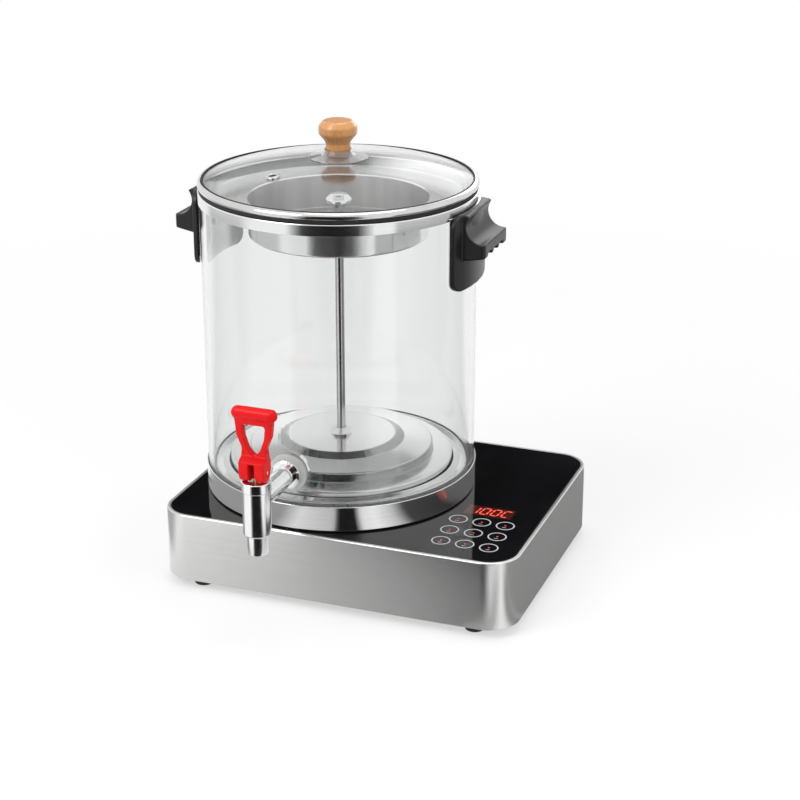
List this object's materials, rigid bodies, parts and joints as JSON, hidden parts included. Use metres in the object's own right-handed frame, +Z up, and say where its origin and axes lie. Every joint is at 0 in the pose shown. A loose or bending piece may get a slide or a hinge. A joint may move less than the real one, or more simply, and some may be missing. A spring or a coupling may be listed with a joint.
{
  "type": "electric tea boiler",
  "caption": "Glass tea boiler with a spray brewing set, domed glass lid and lever tap, standing on a wide hot-plate base with a touch panel.",
  "frame": {"origin": "middle of the bounding box's bottom, on the floor under the feet", "axes": "+Z up, +Y towards the back of the base, +X to the right of a person who faces the tap"},
  "size_m": [0.344, 0.325, 0.4001],
  "materials": {
    "brushed_steel": "brushed sheet",
    "polished_steel": "mirror-polished stainless steel",
    "zinc_steel": "zinc plated",
    "brass": "satin",
    "aluminium": "satin",
    "black_glass": "gloss, opaque black",
    "clear_glass": "clear gloss",
    "dark_metal": "satin paint",
    "black_plastic": "satin",
    "red_plastic": "gloss",
    "wood": "lacquered beech",
    "black_rubber": "satin",
    "clear_silicone": "translucent satin",
    "pale_plastic": "translucent gloss",
    "white_insulation": "chalky",
    "heating_ribbon": "oxidised",
    "circuit_board": "lacquer",
    "display_plastic": "gloss"
  },
  "bodies": {
    "base": {"base_housing": "brushed_steel", "glass_top_plate": "black_glass", "base_bottom_plate": "dark_metal", "rubber_feet": "black_rubber", "bottom_screws": "zinc_steel", "heater_dish": "white_insulation", "heater_coil": "heating_ribbon", "heat_limiter": "zinc_steel", "heater_bracket": "zinc_steel", "control_board": "circuit_board", "display_module": "display_plastic", "touch_key_springs": "brass", "fan_frame": "black_plastic", "cord_gland": "black_rubber"},
    "fan": {"fan_rotor": "black_plastic"},
    "pot": {"glass_cylinder": "clear_glass", "bottom_band": "polished_steel", "bottom_pan": "polished_steel", "heat_disc": "aluminium", "bottom_seal": "clear_silicone", "top_ring": "polished_steel", "ring_seal": "clear_silicone", "left_handle": "black_plastic", "right_handle": "black_plastic", "handle_screws": "zinc_steel", "tap_body": "polished_steel", "tap_bonnet": "polished_steel", "tap_outer_washer": "clear_silicone", "tap_inner_washer": "clear_silicone", "tap_nut": "polished_steel", "valve_spring": "zinc_steel"},
    "valve": {"valve_stem": "brass", "valve_cup": "clear_silicone", "lever_pin": "polished_steel"},
    "lever": {"tap_lever": "red_plastic"},
    "brewing_set": {"tea_basket": "polished_steel", "basket_flange": "polished_steel", "basket_rim": "polished_steel", "basket_sieve": "polished_steel", "riser_tube": "polished_steel", "riser_bell": "polished_steel", "spray_cap": "polished_steel"},
    "lid": {"lid_glass": "clear_glass", "lid_rim": "polished_steel", "lid_gasket": "black_rubber", "lid_knob": "wood", "knob_plate": "pale_plastic", "knob_screw": "zinc_steel", "vent_eyelet": "polished_steel"}
  },
  "joints": [
    {"name": "fan_spin", "type": "hinge", "parent": "base", "child": "fan", "pos_m": [0.1215, 0.0855, 0.01], "axis": [0, 0, 1], "continuous": true},
    {"name": "pot_lift", "type": "slide", "parent": "base", "child": "pot", "axis": [0, 0, 1], "range_m": [0, 0.15]},
    {"name": "valve_slide", "type": "slide", "parent": "pot", "child": "valve", "axis": [0, 0, 1], "range_m": [0, 0.0032], "stiffness_N_per_m": 1000, "springref_m": -0.006, "deforming": ["valve_spring"]},
    {"name": "tap_lever_tilt", "type": "hinge", "parent": "valve", "child": "lever", "pos_m": [-0.029, -0.15, 0.1498], "axis": [1, 0, 0], "range_deg": [0, 65]},
    {"name": "brew_lift", "type": "slide", "parent": "pot", "child": "brewing_set", "axis": [0, 0, 1], "range_m": [0, 0.28]},
    {"name": "lid_lift", "type": "slide", "parent": "brewing_set", "child": "lid", "axis": [0, 0, 1], "range_m": [0, 0.12]}
  ],
  "couplings": [
    {"joint": "tap_lever_tilt", "follows": "valve_slide", "rad_per_m": 354.5}
  ]
}
